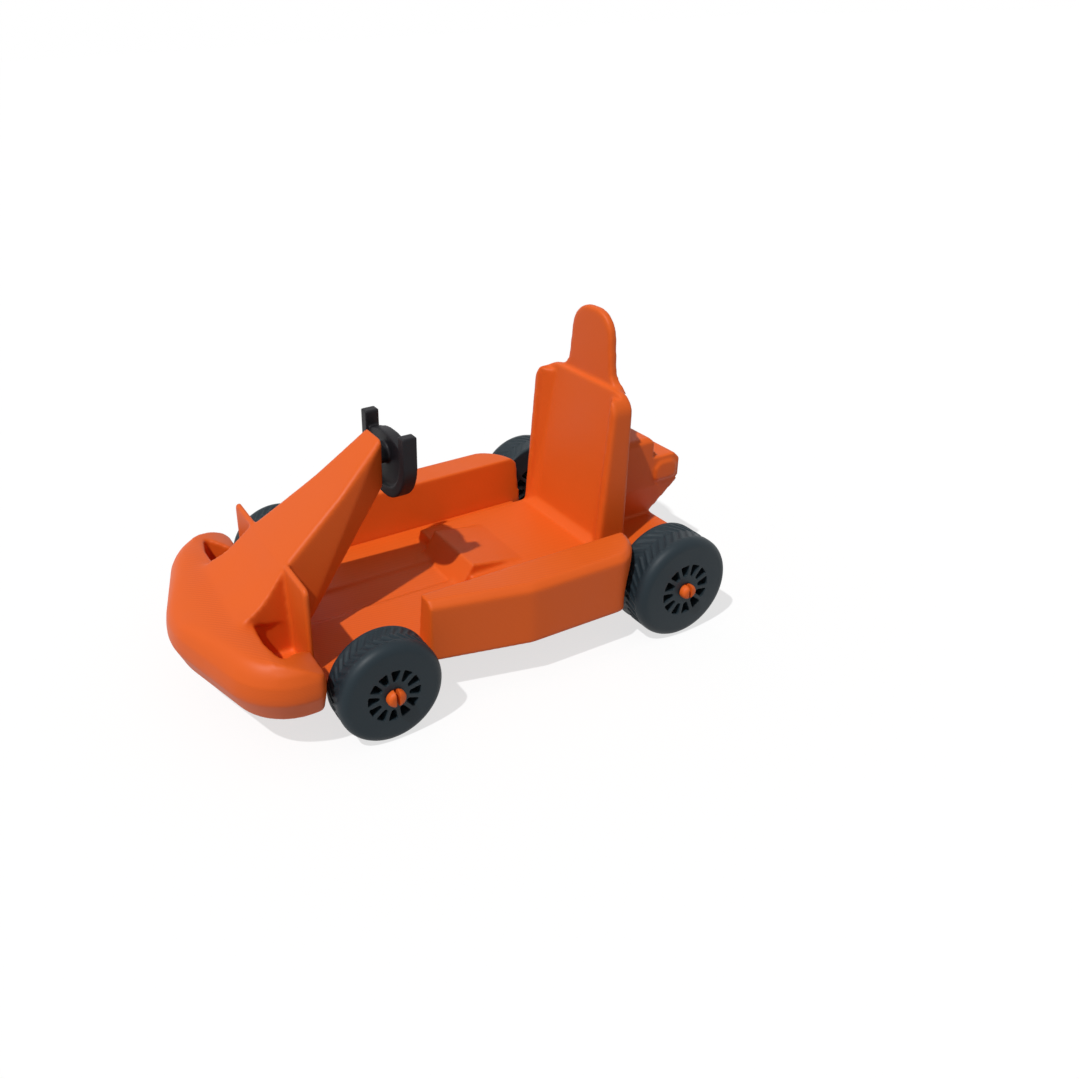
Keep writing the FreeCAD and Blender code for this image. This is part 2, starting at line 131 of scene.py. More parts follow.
# The headrest stands a step behind the backrest. Its foot, up to HEADREST_FOOT, sinks into the backrest,
# and its edges are softened from SOFT_ABOVE over its foot.
HEADREST_BACK = 1.6 * MM
HEADREST_SINK = 1.5 * MM
HEADREST_FOOT = 0.1 * MM
SOFT_ABOVE = 2.5 * MM
SOFT_ROUNDS = 10

# A pod's rear end is slanted: over this length its inner corner reaches further back and its outer one
# less far
POD_SLANT_LENGTH = 13 * MM
POD_SLANT = 2.3 * MM

# The engine's rear block and the panel on its flank, from the side: along the kart from the rear axle and
# up, in mm, each with its half width
COVER_SIDE = ((13.0, 30.5), (13.0, 40.8), (24.8, 40.8), (26.8, 38.8), (26.8, 32.6), (25.2, 30.5))
COVER_HALF = 10 * MM
PANEL_SIDE = ((16.8, 33.4), (16.8, 37.0), (18.6, 38.8), (23.4, 38.8), (25.2, 37.0), (25.2, 33.4),
              (24.4, 32.6), (17.6, 32.6))
PANEL_HALF = 10.8 * MM
# A small stud on the rear block to each side of the cylinder head
STUD_SIDE = ((15.8, 40.0), (15.8, 42.2), (18.0, 42.2), (18.0, 40.0))
STUD_INNER = 6.4 * MM
STUD_OUTER = 8.8 * MM
# The cylinder head's rear end, and how much further back it reaches
CYLINDER_END = 2 * MM
CYLINDER_REACH = 0.9 * MM

# The yoke's hub: its centre's height, outline, and where it starts and ends before the yoke's back
HUB_CENTRE = 61.4 * MM
HUB_RADIUS = 10.4 * MM
HUB_RISE = 6.0 * MM
HUB_ARCH = 24.0 * MM
HUB_DEPTH = 3.4 * MM
HUB_BACK = 0.4 * MM
HUB_BORE = 1.75 * MM
HUB_STEPS = 24

# What differs between the axles: how far the slots are turned, which way the chevrons point, and the
# radius of a pin's head
SLOT_TURN = {"front": math.radians(-5.1), "rear": math.radians(6.0)}
CHEVRON = {"front": 1, "rear": -1}
HEAD_RADIUS = {"front": 2.7 * MM, "rear": 2.5 * MM}
# Steps round a tyre, the slots and the radius of their corners
TYRE_STEPS = 96
SLOT_COUNT = 12
SLOT_ROUND = 0.55 * MM
# A lug's foot lies this deep in the tyre, its bars pass each other by this share of their width, and its
# top keeps these shares of its length and width
LUG_SINK = 0.15 * MM
LUG_LAP = 0.3
LUG_TOP = (0.96, 0.4)
# A pin: steps round it, the gaps to the bore and to both sides of the wheel, the slit, and the height of
# its head against its length
PIN_STEPS = 48
PIN_SLACK = 0.08 * MM
PIN_PLAY = 0.3 * MM
SLIT_DEPTH = 6.0 * MM
SLIT_WIDTH = 1.0 * MM
SLIT_HIGH = 8 * MM
HEAD_FLAT = 0.88
# Faces that meet at more than these angles have a hard edge
TREAD_EDGE = math.radians(50)
PIN_EDGE = math.radians(35)


def node_centre(node):
    """The middle of a CAD node's box."""
    low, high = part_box(node)
    return (low + high) / 2


FRONT_AXLE = node_centre("wheel_front_left")
REAR_AXLE = node_centre("wheel_rear_left")
FRONT_RADIUS = FRONT_AXLE.z
NOSE_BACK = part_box("nose_bumper")[1].y
NOSE_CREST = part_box("nose_bumper")[1].z


def linear(code):
    """An sRGB hex colour as linear RGBA."""
    values = [int(code[i:i + 2], 16) / 255 for i in (1, 3, 5)]
    return [v / 12.92 if v <= 0.04045 else ((v + 0.055) / 1.055) ** 2.4 for v in values] + [1.0]


class KartSizes(bpy.types.PropertyGroup):
    """Sizes of what is modelled here, in metres."""
    lug_height: FloatProperty(name="Lug height", description="How far a tread lug stands out of the tyre",
                              default=0.28 * MM, unit="LENGTH")
    lug_width: FloatProperty(name="Lug width", description="Width of a tread lug at its foot",
                             default=1.35 * MM, unit="LENGTH")
    lug_sweep: FloatProperty(name="Lug sweep", description="Angle of a chevron's arm to the axle",
                             default=math.radians(36), subtype="ANGLE")
    lug_count: IntProperty(name="Lugs", description="Chevrons round a tyre", default=38)
    lug_margin: FloatProperty(name="Lug margin", default=2.2 * MM, unit="LENGTH",
                              description="Plain strip between lugs and sidewall, on average")
    lug_shift: FloatProperty(name="Lug shift", description="How far the tread lies towards the kart",
                             default=0.8 * MM, unit="LENGTH")
    shoulder: FloatProperty(name="Shoulder", description="Plain outer band of the tyre, as high as the lugs",
                            default=3.2 * MM, unit="LENGTH")
    inner_band: FloatProperty(name="Inner band", default=1.4 * MM, unit="LENGTH",
                              description="Plain inner band of the tyre, as high as the lugs")
    tyre_round: FloatProperty(name="Tyre rounding", description="Radius of the tyre's shoulders",
                              default=2.7 * MM, unit="LENGTH")
    slot_inner: FloatProperty(name="Slot inner radius", description="Inner radius of a front wheel's slots",
                              default=4.3 * MM, unit="LENGTH")
    slot_outer: FloatProperty(name="Slot outer radius", description="Outer radius of a front wheel's slots",
                              default=7.8 * MM, unit="LENGTH")
    spoke_width: FloatProperty(name="Spoke width", description="Wall between two slots",
                               default=1.1 * MM, unit="LENGTH")
    bore: FloatProperty(name="Hub bore", description="Radius of the hub's bore",
                        default=2.2 * MM, unit="LENGTH")
    head_round: FloatProperty(name="Pin head rounding", description="Radius of the pin head's rim",
                              default=1.2 * MM, unit="LENGTH")
    skin: FloatProperty(name="Hull mesh", description="Mesh size of the hull's skin",
                        default=0.5 * MM, unit="LENGTH")
    yoke_skin: FloatProperty(name="Yoke mesh", description="Mesh size of the yoke's skin",
                             default=0.28 * MM, unit="LENGTH")
    layer: FloatProperty(name="Layer height", description="Height of one printed layer, as drawn",
                         default=0.4 * MM, unit="LENGTH")
    bead: FloatProperty(name="Bead width", description="Width of one printed bead on a flat top, as drawn",
                        default=0.9 * MM, unit="LENGTH")


class KartColours(bpy.types.PropertyGroup):
    """Colours as sRGB hex codes."""
    hull: StringProperty(name="Hull", description="Orange plastic of the hull", default="#DE5F1B")
    hull_deep: StringProperty(name="Hull, deep", description="Orange where the plastic is denser",
                              default="#D55816")
    wheel: StringProperty(name="Wheels", description="Slate grey plastic of the wheels", default="#202C33")
    wheel_deep: StringProperty(name="Wheels, deep", description="Darker patches of the wheels",
                               default="#1A252B")
    yoke: StringProperty(name="Yoke", description="Black plastic of the yoke", default="#17161B")
    yoke_deep: StringProperty(name="Yoke, deep", description="Darker patches of the yoke", default="#121115")
    floor: StringProperty(name="Floor", description="Plain studio floor as it is seen", default="#FFFFFF")
    card: StringProperty(name="Card", description="Grey of the floor as it lights the kart", default="#AAAAAA")


def add_node(tree, kind, inputs=None, **settings):
    """Adds a shader node, sets its fields, and sets or links its inputs."""
    node = tree.nodes.new(kind)
    for name, value in settings.items():
        setattr(node, name, value)
    for name, value in (inputs or {}).items():
        if isinstance(value, bpy.types.NodeSocket):
            tree.links.new(value, node.inputs[name])
        else:
            node.inputs[name].default_value = value
    return node


def empty_tree(block):
    """The node tree of a material or a world, with nothing in it."""
    block.use_nodes = True
    block.node_tree.nodes.clear()
    return block.node_tree


def printed_plastic(name, light, deep, finish):
    """PLA, laid down by a nozzle in layers: fine level lines on the walls, diagonal beads on
    flat tops, a soft sheen and slightly uneven colour."""
    roughness, shine, bump = finish
    sizes = bpy.context.scene.kart_sizes
    material = bpy.data.materials.new(name)
    tree = empty_tree(material)
    place = add_node(tree, "ShaderNodeTexCoord").outputs["Object"]
    # A wave repeats every pi / 10 units at scale 1. Real layers are 0.2 mm, too fine to show here.
    period = math.pi / 10
    layers = add_node(tree, "ShaderNodeTexWave",
                      {"Vector": place, "Scale": period / sizes.layer, "Distortion": 0.6, "Detail": 1.0,
                       "Detail Scale": 0.02},
                      bands_direction="Z", wave_profile="SIN")
    turned = add_node(tree, "ShaderNodeMapping",
                      {"Vector": place, "Rotation": (0.0, 0.0, math.radians(45))})
    beads = add_node(tree, "ShaderNodeTexWave",
                     {"Vector": turned.outputs["Vector"], "Scale": period / sizes.bead, "Distortion": 0.4,
                      "Detail": 1.0, "Detail Scale": 0.02},
                     bands_direction="X", wave_profile="SIN")
    facing = add_node(tree, "ShaderNodeSeparateXYZ",
                      {"Vector": add_node(tree, "ShaderNodeNewGeometry").outputs["True Normal"]})
    flat_top = add_node(tree, "ShaderNodeMapRange",
                        {"Value": facing.outputs["Z"], "From Min": 0.96, "From Max": 0.99})
    # On a shallow slope the level lines would spread into broad contours, so they fade out there
    slope = add_node(tree, "ShaderNodeMath", {0: facing.outputs["Z"]}, operation="ABSOLUTE")
    shallow = add_node(tree, "ShaderNodeMapRange",
                       {"Value": slope.outputs["Value"], "From Min": 0.2, "From Max": 0.45})
    steep = add_node(tree, "ShaderNodeMix",
                     {"Factor": shallow.outputs["Result"], "A": layers.outputs["Fac"], "B": 0.5},
                     data_type="FLOAT")
    lines = add_node(tree, "ShaderNodeMix",
                     {"Factor": flat_top.outputs["Result"], "A": steep.outputs["Result"],
                      "B": beads.outputs["Fac"]},
                     data_type="FLOAT")
    # Grain of about 0.3 mm from the rough bead surface
    grain = add_node(tree, "ShaderNodeTexNoise", {"Vector": place, "Scale": 3300.0, "Detail": 2.0})
    relief = add_node(tree, "ShaderNodeMath", {0: lines.outputs["Result"], 1: grain.outputs["Fac"]},
                      operation="ADD")
    # Clouds of about 20 mm from uneven extrusion
    clouds = add_node(tree, "ShaderNodeTexNoise", {"Vector": place, "Scale": 50.0, "Detail": 3.0})
    mottled = add_node(tree, "ShaderNodeMath", {0: clouds.outputs["Fac"], 1: lines.outputs["Result"]},
                       operation="ADD")
    shade = add_node(tree, "ShaderNodeMapRange",
                     {"Value": mottled.outputs["Value"], "From Min": 0.4, "From Max": 1.6})
    colour = add_node(tree, "ShaderNodeValToRGB", {"Fac": shade.outputs["Result"]})
    colour.color_ramp.elements[0].color = linear(deep)
    colour.color_ramp.elements[1].color = linear(light)
    gloss = add_node(tree, "ShaderNodeMapRange",
                     {"Value": clouds.outputs["Fac"], "From Min": 0.3, "From Max": 0.7,
                      "To Min": roughness - 0.05, "To Max": roughness + 0.07})
    soft_edge = add_node(tree, "ShaderNodeBevel", {"Radius": EDGE_ROUND}, samples=4)
    normal = add_node(tree, "ShaderNodeBump",
                      {"Strength": bump, "Distance": RELIEF_DEPTH, "Height": relief.outputs["Value"],
                       "Normal": soft_edge.outputs["Normal"]})
    shader = add_node(tree, "ShaderNodeBsdfPrincipled",
                      {"Base Color": colour.outputs["Color"], "Roughness": gloss.outputs["Result"],
                       "Normal": normal.outputs["Normal"], "IOR": 1.46, "Specular IOR Level": shine})
    add_node(tree, "ShaderNodeOutputMaterial", {"Surface": shader.outputs["BSDF"]})
    return material


def seen_rays(tree):
    """1 where a ray shows the background: to the camera, in a reflection or through glass."""
    rays = add_node(tree, "ShaderNodeLightPath")
    mirrored = add_node(tree, "ShaderNodeMath", {0: rays.outputs["Is Glossy Ray"],
                                                 1: rays.outputs["Is Transmission Ray"]}, operation="MAXIMUM")
    seen = add_node(tree, "ShaderNodeMath", {0: rays.outputs["Is Camera Ray"], 1: mirrored.outputs["Value"]},
                    operation="MAXIMUM")
    return seen.outputs["Value"]


def hull_plastic():
    """Orange PLA for the hull and its pins, made once."""
    colours = bpy.context.scene.kart_colours
    name = "PLA, printed in layers, orange"
    return bpy.data.materials.get(name) or printed_plastic(name, colours.hull, colours.hull_deep, HULL_FINISH)


def as_object(bm, name):
    """Turns a bmesh into an object of the scene; the bmesh is used up."""
    mesh = bpy.data.meshes.new(name)
    bm.to_mesh(mesh)
    bm.free()
    made = bpy.data.objects.new(name, mesh)
    bpy.context.scene.collection.objects.link(made)
    return made


def new_piece(name, bm, material, body, nodes):
    """Turns a bmesh into a finished piece that rides on a body and stands for CAD nodes."""
    piece = as_object(bm, name)
    piece.data.materials.append(material)
    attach(piece, body)
    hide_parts(*nodes)


def smooth_by_angle(bm, angle):
    """Smooth faces, with a hard edge wherever two faces meet at more than an angle."""
    for face in bm.faces:
        face.smooth = True
    for edge in bm.edges:
        edge.smooth = len(edge.link_faces) == 2 and edge.calc_face_angle(0.0) < angle


def close_up(bm):
    """Merges doubled points and turns the faces outwards."""
    bmesh.ops.remove_doubles(bm, verts=bm.verts[:], dist=SAME_POINT)
    bmesh.ops.recalc_face_normals(bm, faces=bm.faces[:])


def held(bm, name):
    """Puts a bmesh on a short-lived object of its own."""
    close_up(bm)
    return as_object(bm, name)


def with_modifiers(holder, *helpers):
    """The object's mesh with its modifiers applied, as a bmesh; the objects are used up."""
    graph = bpy.context.evaluated_depsgraph_get()
    graph.update()
    result = bmesh.new()
    result.from_mesh(holder.evaluated_get(graph).to_mesh())
    for spent in (holder,) + helpers:
        mesh = spent.data
        bpy.data.objects.remove(spent)
        bpy.data.meshes.remove(mesh)
    return result


def cut_away(bm, cutter):
    """The first bmesh with the second one cut away; both are used up."""
    blank, tool = held(bm, "blank"), held(cutter, "tool")
    step = blank.modifiers.new("cut", "BOOLEAN")
    step.operation = "DIFFERENCE"
    step.solver = "EXACT"
    step.object = tool
    return with_modifiers(blank, tool)


def one_skin(bm, voxel, rounds):
    """One closed skin whose corners are rounded by a number of smoothing rounds."""
    holder = held(bm, "skin")
    skin = holder.modifiers.new("skin", "REMESH")
    skin.mode = "VOXEL"
    skin.voxel_size = voxel
    soften = holder.modifiers.new("soften", "SMOOTH")
    soften.factor = SMOOTHING
    soften.iterations = rounds
    result = with_modifiers(holder)
    for face in result.faces:
        face.smooth = True
    return result


def add_to(whole, part):
    """Adds a bmesh to another one; the added one is used up."""
    mesh = bpy.data.meshes.new("part")
    part.to_mesh(mesh)
    part.free()
    whole.from_mesh(mesh)
    bpy.data.meshes.remove(mesh)


def joined(parts):
    """Several bmeshes in one, which a skin then unites; all but the first are used up."""
    whole = parts[0]
    for part in parts[1:]:
        close_up(part)
        add_to(whole, part)
    return whole


def node_copy(node):
    """A merged copy of a CAD node's mesh."""
    bm = bmesh.new()
    bm.from_mesh(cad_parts[node].data)
    bmesh.ops.remove_doubles(bm, verts=bm.verts[:], dist=SAME_POINT)
    return bm


def spun(profile, centre, steps):
    """A closed shell of revolution about an axis across the kart, from (x, radius) points."""
    bm = bmesh.new()
    verts = [bm.verts.new((x, centre.y, centre.z + r)) for x, r in profile]
    edges = [bm.edges.new((verts[i - 1], verts[i])) for i in range(len(verts))]
    bmesh.ops.spin(bm, geom=verts + edges, cent=centre, axis=(1, 0, 0), dvec=(0, 0, 0),
                   angle=math.tau, steps=steps, use_merge=True)
    close_up(bm)
    return bm


def repeat_round(bm, centre, count):
    """Repeats a bmesh evenly about an axis across the kart."""
    bmesh.ops.spin(bm, geom=bm.verts[:] + bm.edges[:] + bm.faces[:], cent=centre, axis=(1, 0, 0),
                   dvec=(0, 0, 0), angle=math.tau * (count - 1) / count, steps=count - 1,
                   use_duplicate=True)


def round_off(bm, edges, radius, segments):
    """Rounds some edges of a bmesh."""
    bmesh.ops.bevel(bm, geom=edges, offset=radius, offset_type="OFFSET", segments=segments, profile=0.5,
                    affect="EDGES", clamp_overlap=True, material=-1)


def radius_of(vert, centre):
    """A vertex's distance from an axis across the kart."""
    return math.hypot(vert.co.y - centre.y, vert.co.z - centre.z)


def ring_edges(bm, centre, x, radius, slack=1e-5):
    """The edges of the circle at one place along the axle."""
    return [e for e in bm.edges if all(abs(v.co.x - x) < slack and abs(radius_of(v, centre) - radius) < slack
                                       for v in e.verts)]


def block_between(one, other):
    """A closed block between two outlines with the same number of corners."""
    bm = bmesh.new()
    rings = [[bm.verts.new(corner) for corner in outline] for outline in (one, other)]
    for ring in rings:
        bm.faces.new(ring)
    for i in range(len(one)):
        bm.faces.new((rings[0][i - 1], rings[0][i], rings[1][i], rings[1][i - 1]))
    return bm


def side_block(start, corners, x0, x1):
    """A block between two places across the kart. Its corners, as seen from the side, are in mm:
    along the kart from a start, and up."""
    outline = [(start + y * MM, z * MM) for y, z in corners]
    return block_between([(x0, y, z) for y, z in outline], [(x1, y, z) for y, z in outline])


def nose_with_recesses():
    """The nose with its two open recesses carved out to their full width."""
    nose = node_copy("nose_bumper")
    for side in (-1, 1):
        corners = [(side * x * MM, NOSE_BACK + y * MM) for x, y in RECESS_PLAN]
        well = block_between([(x, y, RECESS_FLOOR) for x, y in corners],
                             [(x, y, RECESS_FLOOR + RECESS_CUTTER) for x, y in corners])
        nose = cut_away(nose, well)
    return nose


def fairing_with_short_toe():
    """The fairing with its toe cut back, so that it runs out on the crest of the nose and sinks into it."""
    cutter = side_block(NOSE_BACK, TOE_CUT, -TOE_CUT_HALF, TOE_CUT_HALF)
    fairing = cut_away(node_copy("steering_fairing"), cutter)
    for vert in fairing.verts:
        if vert.co.y < NOSE_BACK and NOSE_CREST - CREST_ARCH < vert.co.z < NOSE_CREST + TOE_SINK:
            vert.co.z -= TOE_SINK
    return fairing


def hull_front():
    """Nose, fairing and fins in one, as they are printed."""
    parts = [nose_with_recesses(), fairing_with_short_toe()]
    for side, word in ((1, "left"), (-1, "right")):
        fin = node_copy("fin_" + word)
        bmesh.ops.translate(fin, verts=fin.verts[:], vec=(-side * FIN_OVERLAP, 0, 0))
        parts.append(fin)
    return joined(parts)


def soften_at(bm, verts, rounds):
    """Softens a skin at some of its vertices."""
    for _ in range(rounds):
        bmesh.ops.smooth_vert(bm, verts=verts, factor=SMOOTHING, use_axis_x=True, use_axis_y=True,
                              use_axis_z=True)


def flow_into_nose(bm):
    """Smooths the place where the fairing's toe runs out on the nose."""
    blend = []
    for vert in bm.verts:
        ahead = NOSE_BACK - vert.co.y
        middle = ahead > BLEND_FROM and abs(vert.co.x) < BLEND_HALF
        if vert.co.z > BLEND_LOW and (middle or ahead > BLEND_WIDE_FROM):
            blend.append(vert)
    soften_at(bm, blend, BLEND_ROUNDS)


def soften_headrest(bm):
    """Rounds the headrest's thin edges."""
    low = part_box("headrest")[0].z + SOFT_ABOVE
    soften_at(bm, [v for v in bm.verts if v.co.z > low], SOFT_ROUNDS)


def headrest_set_back():
    """The headrest, standing a step behind the backrest's face."""
    headrest = node_copy("headrest")
    bmesh.ops.translate(headrest, verts=headrest.verts[:], vec=(0, HEADREST_BACK, 0))
    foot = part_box("headrest")[0].z
    for vert in headrest.verts:
        if vert.co.z < foot + HEADREST_FOOT:
            vert.co.z -= HEADREST_SINK
    return headrest


def grown(bm):
    """A solid grown by a hair, so that it overlaps its neighbours instead of touching them."""
    low = Vector([min(v.co[i] for v in bm.verts) for i in range(3)])
    high = Vector([max(v.co[i] for v in bm.verts) for i in range(3)])
    middle = (low + high) / 2
    for vert in bm.verts:
        for i in range(3):
            vert.co[i] = middle[i] + (vert.co[i] - middle[i]) * (1 + 2 * OVERLAP / (high[i] - low[i]))
    return bm


def united(nodes):
    """Several CAD nodes in one mesh, which a skin then unites."""
    return joined([grown(headrest_set_back() if node == "headrest" else node_copy(node)) for node in nodes])


def slanted_pod(node):
    """A side pod whose rear end slants forwards to the outside."""
    pod = united([node])
    low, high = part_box(node)
    inner, outer = sorted((abs(low.x), abs(high.x)))
    for vert in pod.verts:
        share = max(0.0, 1 - (high.y - vert.co.y) / POD_SLANT_LENGTH)
        across = (2 * abs(vert.co.x) - inner - outer) / (outer - inner)
        vert.co.y -= POD_SLANT * share * across
    return pod


def engine_parts():
    """The engine: block and head as in the CAD, the rear block a little lower, with studs on top."""
    head = node_copy("cylinder_head")
    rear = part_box("cylinder_head")[1].y
    for vert in head.verts:
        if vert.co.y > rear - CYLINDER_END:
            vert.co.y += CYLINDER_REACH
    parts = [united(["rear_deck", "engine_block"]), grown(head)]
    for corners, half in ((COVER_SIDE, COVER_HALF), (PANEL_SIDE, PANEL_HALF)):
        parts.append(side_block(REAR_AXLE.y, corners, -half, half))
    for side in (-1, 1):
        parts.append(side_block(REAR_AXLE.y, STUD_SIDE, side * STUD_INNER, side * STUD_OUTER))
    return joined(parts)


def seat_fillets():
    """Fills the seat's inner corners: along both wings, at the backrest's foot and before the pan's lip."""
    wedges = []
    for side in (-1, 1):
        rings = []
        for z, face, wing in SEAT_LEVELS:
            rings.append([(side * WING_INNER, REAR_AXLE.y + face * MM, z * MM),
                          (side * WING_INNER, REAR_AXLE.y + wing * MM, z * MM),
                          (side * (WING_INNER - WING_FILLET), REAR_AXLE.y + face * MM, z * MM)])
        wedges.append(block_between(*rings))
    for half, corners in SEAT_RAMPS:
        wedges.append(side_block(REAR_AXLE.y, corners, -half * MM, half * MM))
    return wedges


def hub_arc(radius, start, sweep):
    """Points (x, z) on an arc about the hub's centre; a full turn doesn't repeat its first point."""
    steps = range(HUB_STEPS + (sweep < math.tau))
    return [(radius * math.cos(a), HUB_CENTRE + radius * math.sin(a))
            for a in [start + sweep * i / HUB_STEPS for i in steps]]


def yoke_hub():
    """Fills the yoke's ring up to a shallow recess, with a bore for the pin."""
    rim = hub_arc(HUB_RADIUS, math.pi, math.pi)
    for i in range(HUB_STEPS + 1):
        x = HUB_RADIUS * (1 - 2 * i / HUB_STEPS)
        rim.append((x, HUB_CENTRE + HUB_RISE - HUB_ARCH + math.sqrt(HUB_ARCH ** 2 - x ** 2)))
    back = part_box(YOKE)[1].y
    y0, y1 = back - HUB_DEPTH, back - HUB_BACK
    hub = block_between([(x, y0, z) for x, z in rim], [(x, y1, z) for x, z in rim])
    bore = hub_arc(HUB_BORE, 0.0, math.tau)
    drill = block_between([(x, y0 - MM, z) for x, z in bore], [(x, y1 + MM, z) for x, z in bore])
    return cut_away(hub, drill)


def wheel_blank(sizes, node):
    """Tyre and disc in one piece, with plain bands at full radius on both sides of the sunk tread."""
    low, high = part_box(node)
    centre = node_centre(node)
    radius = (high.z - low.z) / 2
    tread = radius - sizes.lug_height
    side = math.copysign(1, centre.x)
    inner, outer = (low.x, high.x) if side > 0 else (high.x, low.x)
    lip, step = inner + side * sizes.inner_band, outer - side * sizes.shoulder
    # The bands slope down to the tread over twice the height of the lugs
    slope = side * 2 * sizes.lug_height
    profile = [(inner, sizes.bore), (inner, radius), (lip, radius), (lip + slope, tread),
               (step - slope, tread), (step, radius), (outer, radius), (outer, sizes.bore)]
    bm = spun(profile, centre, TYRE_STEPS)
    for x, rounding in ((outer, sizes.tyre_round), (inner, sizes.inner_band / 2)):
        round_off(bm, ring_edges(bm, centre, x, radius), rounding, segments=7)
    return bm


def slot_cutter(sizes, node, turn):
    """The wedges that cut the slots of one wheel."""
    low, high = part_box(node)
    centre = node_centre(node)
    scale = (high.z - low.z) / 2 / FRONT_RADIUS
    half_pitch = math.pi / SLOT_COUNT
    half = sizes.spoke_width / 2
    bm = bmesh.new()
    ring = []
    for radius, order in ((sizes.slot_inner * scale, (-1, 1)), (sizes.slot_outer * scale, (1, -1))):
        along = math.sqrt(radius * radius - half * half)
        across = along * math.sin(half_pitch) - half * math.cos(half_pitch)
        up = along * math.cos(half_pitch) + half * math.sin(half_pitch)
        ring += [bm.verts.new((low.x - MM, centre.y + side * across, centre.z + up)) for side in order]
    face = bm.faces.new(ring)
    drawn = bmesh.ops.extrude_face_region(bm, geom=[face])["geom"]
    moved = [v for v in drawn if isinstance(v, bmesh.types.BMVert)]
    bmesh.ops.translate(bm, verts=moved, vec=(high.x - low.x + 2 * MM, 0, 0))
    long_edges = [e for e in bm.edges if abs(e.verts[0].co.x - e.verts[1].co.x) > MM]
    round_off(bm, long_edges, SLOT_ROUND, segments=3)
    repeat_round(bm, centre, SLOT_COUNT)
    bmesh.ops.rotate(bm, verts=bm.verts[:], cent=centre, matrix=Matrix.Rotation(turn, 3, "X"))
    return bm


def add_lugs(bm, sizes, node, direction):
    """Chevron lugs round the tyre, each of two swept bars bent to its curve."""
    low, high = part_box(node)
    centre = node_centre(node)
    tread = (high.z - low.z) / 2 - sizes.lug_height
    middle = centre.x - math.copysign(sizes.lug_shift, centre.x)
    reach = (high.x - low.x) / 2 - sizes.lug_margin
    lug = bmesh.new()
    for side in (-1, 1):
        sweep = sizes.lug_sweep * side * direction
        length = reach / math.cos(sizes.lug_sweep) + sizes.lug_width * LUG_LAP
        offset = Vector((side * reach / 2, direction * reach / 2 * math.tan(sizes.lug_sweep), 0))
        place = (Matrix.Translation(offset) @ Matrix.Rotation(sweep, 4, "Z")
                 @ Matrix.Diagonal((length, sizes.lug_width, sizes.lug_height + LUG_SINK, 1)))
        made = bmesh.ops.create_cube(lug, size=1.0, matrix=Matrix.Identity(4))["verts"]
        long_edges = [e for e in lug.edges if e.verts[0] in made and
                      abs(e.verts[0].co.x - e.verts[1].co.x) > 0.5]
        bmesh.ops.subdivide_edges(lug, edges=long_edges, cuts=2)
        for v in [v for v in lug.verts if not v.tag]:
            v.tag = True
            if v.co.z > 0:
                v.co.x *= LUG_TOP[0]
                v.co.y *= LUG_TOP[1]
            v.co = place @ v.co
    for v in lug.verts:
        angle = v.co.y / tread
        radius = tread + v.co.z + (sizes.lug_height - LUG_SINK) / 2
        v.co = Vector((middle + v.co.x, centre.y + radius * math.sin(angle),
                       centre.z + radius * math.cos(angle)))
    repeat_round(lug, centre, sizes.lug_count)
    bmesh.ops.recalc_face_normals(lug, faces=lug.faces[:])
    add_to(bm, lug)


def snap_pin(sizes, word):
    """A pin with its collar, its shaft and a domed, slightly flat head that a slit splits."""
    low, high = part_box("axle_pin_" + word)
    wheel_low, wheel_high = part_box("wheel_" + word)
    centre = (low + high) / 2
    centre.z = (wheel_low.z + wheel_high.z) / 2
    outward = 1 if word.endswith("left") else -1
    root, inner, outer, tip = (low.x, wheel_low.x, wheel_high.x, high.x)[::outward]
    collar = (high.z - low.z) / 2
    shaft = sizes.bore - PIN_SLACK
    head = HEAD_RADIUS[word.split("_")[0]]
    play = PIN_PLAY * outward
    profile = [(root, 0.0), (root, collar), (inner - play, collar), (inner - play, shaft),
               (outer + play, shaft), (outer + play, head), (tip, head), (tip, 0.0)]
    bm = spun(profile, centre, PIN_STEPS)
    round_off(bm, ring_edges(bm, centre, tip, head), sizes.head_round, segments=5)
    slit = bmesh.new()
    place = Matrix.Translation((tip - outward * (SLIT_DEPTH / 2 - MM), centre.y, centre.z))
    size = Matrix.Diagonal((SLIT_DEPTH, SLIT_WIDTH, SLIT_HIGH, 1))
    bmesh.ops.create_cube(slit, size=1.0, matrix=place @ size)
    bm = cut_away(bm, slit)
    for vert in bm.verts:
        if abs(vert.co.x) > abs(outer):
            vert.co.z = centre.z + HEAD_FLAT * (vert.co.z - centre.z)
    return bm


class KartHull(bpy.types.Operator):
    """Dress the hull, the fairing, the seat and the engine in orange printed plastic"""
    bl_idname = "kart.hull"
    bl_label = "Hull"

    def execute(self, context):
        material = hull_plastic()
        front = ["nose_bumper", "steering_fairing", "fin_left", "fin_right"]
        tub = ["floor_tray", "seat_pan", "seat_back", "headrest"]
        engine = ["engine_block", "cylinder_head", "engine_cover", "rear_deck"]
        # Each printed skin with the CAD nodes that it stands for and the solids that it unites
        skins = {"printed_front": (front, hull_front()),
                 "printed_tub": (tub, joined([united(tub)] + seat_fillets())),
                 "printed_engine": (engine, engine_parts()),
                 "printed_pod_left": (["side_pod_left"], slanted_pod("side_pod_left")),
                 "printed_pod_right": (["side_pod_right"], slanted_pod("side_pod_right"))}
        soften = {"printed_front": flow_into_nose, "printed_tub": soften_headrest}
        for name, (nodes, whole) in skins.items():
            skin = one_skin(whole, context.scene.kart_sizes.skin, SKIN_ROUNDS[name])
            if name in soften:
                soften[name](skin)
            new_piece(name, skin, material, "hull", nodes)
        return {"FINISHED"}


